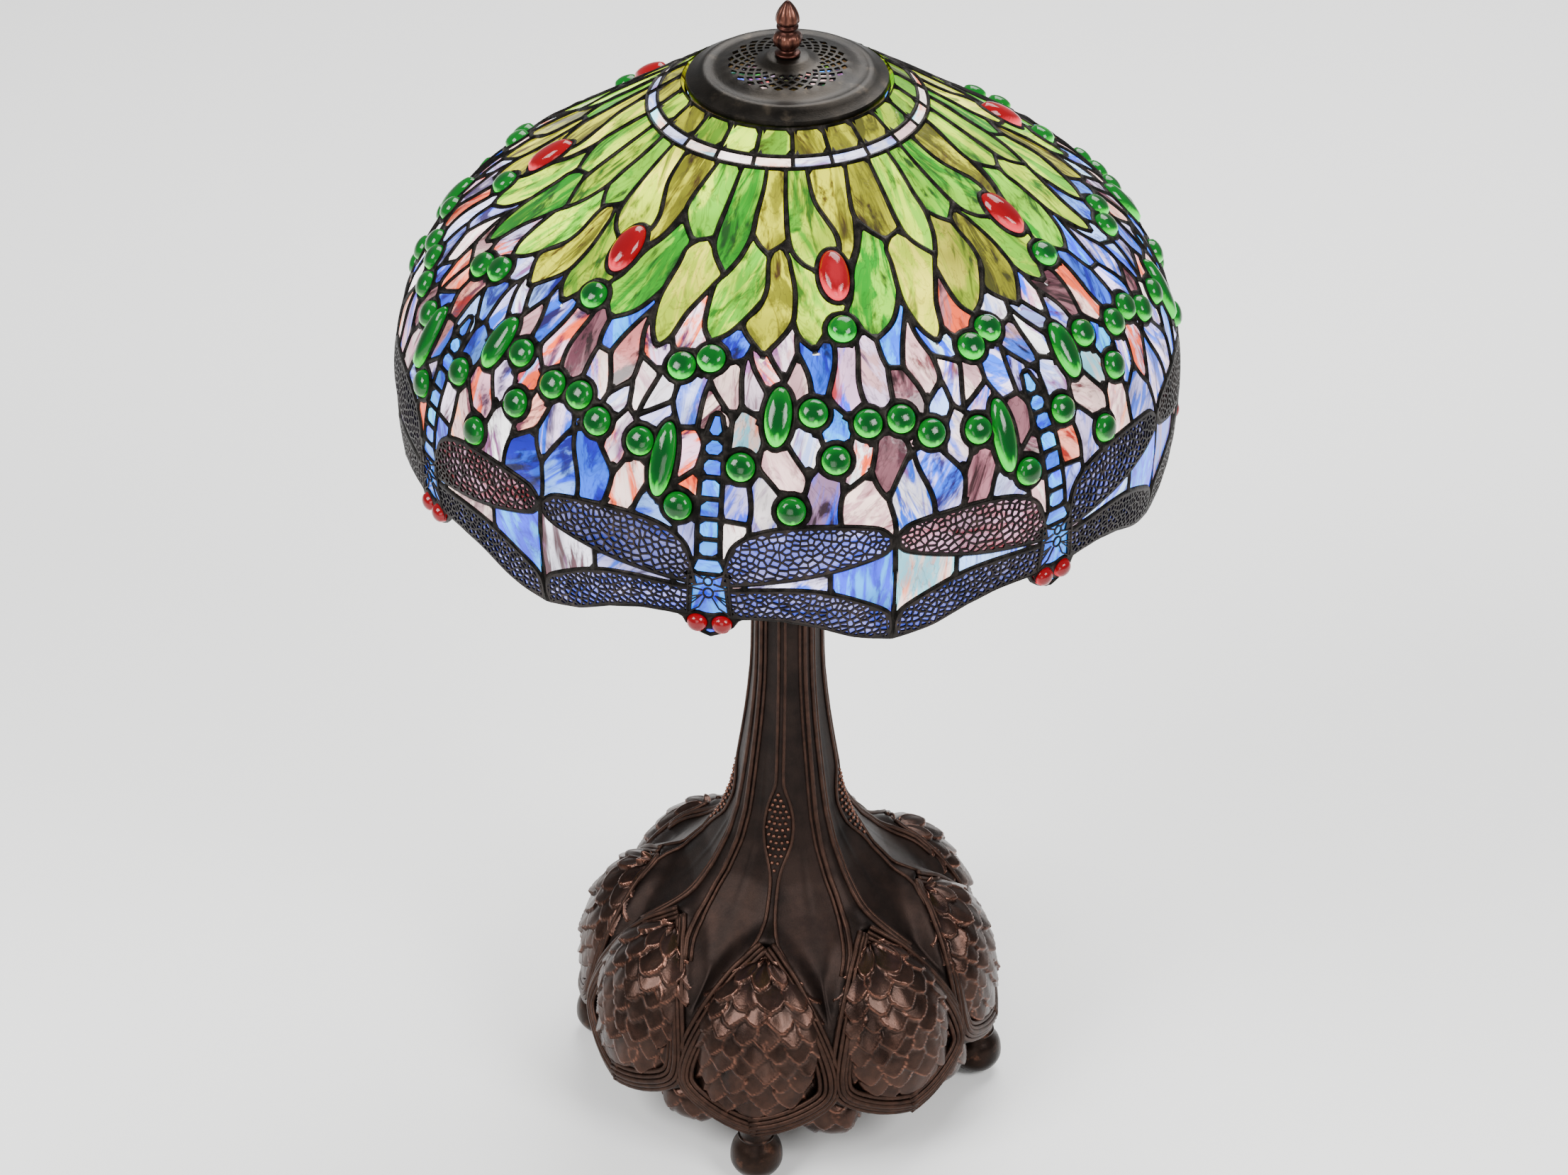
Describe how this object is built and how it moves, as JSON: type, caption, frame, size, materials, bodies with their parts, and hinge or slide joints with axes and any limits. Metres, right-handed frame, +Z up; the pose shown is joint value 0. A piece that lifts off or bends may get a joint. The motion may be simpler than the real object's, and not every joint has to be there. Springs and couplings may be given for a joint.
{
  "type": "stained glass table lamp",
  "caption": "Table lamp with a domed leaded glass shade, dragonfly border, pierced vent cap, ribbed bronze stem and a footed base ringed by pine cones.",
  "frame": {"origin": "on the table under the lamp axis: the centre of the bounding box at its bottom", "axes": "+Z up along the lamp axis; -Y is the front, the side with one foot under the front pine cone; +X is to the right seen from the front"},
  "size_m": [0.506, 0.5072, 0.83],
  "materials": {
    "green_glass": "streaky green opalescent art glass, lead lines between pieces",
    "pale_glass": "pinkish white opalescent art glass",
    "field_glass": "mottled opalescent art glass: pinkish white, mauve brown and sky blue streaks",
    "wing_glass": "cobalt and lilac opalescent art glass",
    "dragonfly_glass": "sky blue glass body and lilac wings under a dark metal filigree",
    "red_glass": "clear ruby glass, domed",
    "bulb_glass": "frosted",
    "bronze": "antique bronze patina, near black in the hollows, copper red on the ridges, satin",
    "dark_bronze": "dark antique bronze patina, satin",
    "finial_bronze": "dark red-brown bronze patina",
    "brass": "aged",
    "steel": "zinc plated",
    "bushing_plastic": "matte black",
    "felt": "dark green felt"
  },
  "bodies": {
    "base": {"base_casting": "bronze", "foot_front": "bronze", "foot_right": "bronze", "foot_back": "bronze", "foot_left": "bronze", "foot_pad_front": "felt", "foot_pad_right": "felt", "foot_pad_back": "felt", "foot_pad_left": "felt", "bottom_plate": "steel", "cord_bushing": "bushing_plastic", "lower_washer": "steel", "lower_nut": "brass", "center_pipe": "steel", "column_collar": "bronze", "pipe_sleeve": "brass", "cluster_body": "brass", "cluster_nut": "brass", "socket_cap_1": "brass", "socket_cap_2": "brass", "socket_cap_3": "brass", "socket_shell_1": "brass", "socket_shell_2": "brass", "socket_shell_3": "brass", "shade_spider": "brass", "spider_nut": "brass", "finial_stud": "steel"},
    "shade": {"crown_band_glass": "green_glass", "pale_band_glass": "pale_glass", "leaf_band_glass": "green_glass", "field_band_glass": "field_glass", "dragonfly_border": "wing_glass", "shade_ring": "brass", "red_cabochon_1": "red_glass", "red_cabochon_2": "red_glass", "red_cabochon_3": "red_glass", "red_cabochon_4": "red_glass", "red_cabochon_5": "red_glass", "red_cabochon_6": "red_glass", "red_cabochon_7": "red_glass", "dragonfly_1": "dragonfly_glass", "dragonfly_2": "dragonfly_glass", "dragonfly_3": "dragonfly_glass", "dragonfly_4": "dragonfly_glass", "dragonfly_5": "dragonfly_glass", "dragonfly_6": "dragonfly_glass", "dragonfly_7": "dragonfly_glass"},
    "vent_cap": {"vent_cap": "dark_bronze"},
    "finial": {"finial": "finial_bronze"},
    "bulb_1": {"bulb_base_1": "steel", "bulb_1": "bulb_glass"},
    "pull_chain_1": {"pull_chain_1": "brass"},
    "bulb_2": {"bulb_base_2": "steel", "bulb_2": "bulb_glass"},
    "pull_chain_2": {"pull_chain_2": "brass"},
    "bulb_3": {"bulb_base_3": "steel", "bulb_3": "bulb_glass"},
    "pull_chain_3": {"pull_chain_3": "brass"}
  },
  "joints": [
    {"name": "shade_lift", "type": "slide", "parent": "base", "child": "shade", "axis": [0, 0, 1], "range_m": [0, 0.3]},
    {"name": "vent_cap_lift", "type": "slide", "parent": "shade", "child": "vent_cap", "axis": [0, 0, 1], "range_m": [0, 0.1]},
    {"name": "finial_unscrew", "type": "slide", "parent": "vent_cap", "child": "finial", "axis": [0, 0, 1], "range_m": [0, 0.08]},
    {"name": "bulb_1_unscrew", "type": "slide", "parent": "base", "child": "bulb_1", "axis": [0.1228, -0.6964, 0.7071], "range_m": [0, 0.03]},
    {"name": "pull_chain_1_pull", "type": "slide", "parent": "base", "child": "pull_chain_1", "axis": [0, 0, -1], "range_m": [0, 0.008], "stiffness_N_per_m": 300},
    {"name": "bulb_2_unscrew", "type": "slide", "parent": "base", "child": "bulb_2", "axis": [0.5417, 0.4545, 0.7071], "range_m": [0, 0.03]},
    {"name": "pull_chain_2_pull", "type": "slide", "parent": "base", "child": "pull_chain_2", "axis": [0, 0, -1], "range_m": [0, 0.008], "stiffness_N_per_m": 300},
    {"name": "bulb_3_unscrew", "type": "slide", "parent": "base", "child": "bulb_3", "axis": [-0.6645, 0.2418, 0.7071], "range_m": [0, 0.03]},
    {"name": "pull_chain_3_pull", "type": "slide", "parent": "base", "child": "pull_chain_3", "axis": [0, 0, -1], "range_m": [0, 0.008], "stiffness_N_per_m": 300}
  ]
}
